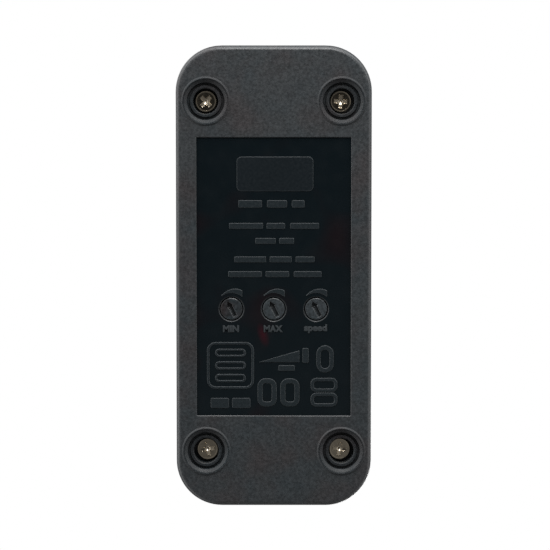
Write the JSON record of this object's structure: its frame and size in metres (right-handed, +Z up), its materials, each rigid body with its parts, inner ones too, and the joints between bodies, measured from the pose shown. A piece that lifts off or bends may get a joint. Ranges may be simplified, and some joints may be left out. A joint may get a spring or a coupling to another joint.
{
  "type": "rotary cord dimmer",
  "caption": "In-line mains cord dimmer: a long rounded two-part case with a turn-and-push knob on top, a cord inlet in each end, and slotted trimmers and sunk screws underneath.",
  "frame": {"origin": "middle of the case's footprint, on the surface that the four raised pocket rims stand on", "axes": "+Z up towards the knob, +Y along the case towards the incoming cord, +X across the case"},
  "size_m": [0.0384, 0.0902, 0.03],
  "materials": {
    "case_plastic": "moulded, fine spark-eroded grain",
    "knob_plastic": "moulded, fine grain",
    "screw_metal": "nickel plated",
    "spindle_plastic": "moulded, fine grain",
    "trimmer_case": "moulded",
    "encoder_plastic": "moulded",
    "encoder_metal": "tin plated",
    "bushing_metal": "turned",
    "shaft_metal": "turned",
    "board_laminate": "glass-fibre laminate with solder mask",
    "terminal_plastic": "moulded",
    "cage_metal": "nickel plated",
    "grip_plastic": "moulded",
    "film_capacitor_case": "moulded",
    "ferrite": "sintered ferrite",
    "winding_copper": "enamelled copper wire",
    "fuse_case": "moulded",
    "varistor_coating": "dipped epoxy",
    "can_metal": "drawn can",
    "package_resin": "moulded epoxy",
    "spreader_metal": "folded sheet"
  },
  "bodies": {
    "root": {"bottom_cover": "case_plastic", "top_shell": "case_plastic", "case_screws": "screw_metal", "board_screws": "screw_metal", "input_grip_screws": "screw_metal", "output_grip_screws": "screw_metal", "input_terminal_screws": "screw_metal", "output_terminal_screws": "screw_metal", "min_trimmer_body": "trimmer_case", "max_trimmer_body": "trimmer_case", "speed_trimmer_body": "trimmer_case", "encoder_base": "encoder_plastic", "encoder_frame": "encoder_metal", "encoder_bushing": "bushing_metal", "circuit_board": "board_laminate", "input_terminal_block": "terminal_plastic", "output_terminal_block": "terminal_plastic", "input_terminal_cages": "cage_metal", "output_terminal_cages": "cage_metal", "input_cord_grip": "grip_plastic", "output_cord_grip": "grip_plastic", "film_capacitor": "film_capacitor_case", "choke_core": "ferrite", "choke_winding": "winding_copper", "fuse_drum": "fuse_case", "varistor": "varistor_coating", "can_capacitor": "can_metal", "bridge_rectifier": "package_resin", "control_chip": "package_resin", "power_transistors": "package_resin", "heat_spreader": "spreader_metal"},
    "rotor": {"encoder_rotor": "encoder_plastic"},
    "knob": {"knob": "knob_plastic", "encoder_shaft": "shaft_metal"},
    "min_dial": {"min_trimmer_spindle": "spindle_plastic"},
    "max_dial": {"max_trimmer_spindle": "spindle_plastic"},
    "speed_dial": {"speed_trimmer_spindle": "spindle_plastic"}
  },
  "joints": [
    {"name": "knob_turn", "type": "hinge", "parent": "root", "child": "rotor", "pos_m": [0, 0, 0.0182], "axis": [0, 0, 1], "continuous": true},
    {"name": "knob_push", "type": "slide", "parent": "rotor", "child": "knob", "axis": [0, 0, 1], "range_m": [-0.0005, 0], "stiffness_N_per_m": 1500, "springref_m": 0.001},
    {"name": "min_trimmer_turn", "type": "hinge", "parent": "root", "child": "min_dial", "pos_m": [0.00825, -0.00625, 0.0012], "axis": [0, 0, 1], "range_deg": [-89.5, 145.5]},
    {"name": "max_trimmer_turn", "type": "hinge", "parent": "root", "child": "max_dial", "pos_m": [0, -0.00625, 0.0012], "axis": [0, 0, 1], "range_deg": [-90.5, 144.5]},
    {"name": "speed_trimmer_turn", "type": "hinge", "parent": "root", "child": "speed_dial", "pos_m": [-0.00825, -0.00625, 0.0012], "axis": [0, 0, 1], "range_deg": [-90.5, 144.5]}
  ]
}
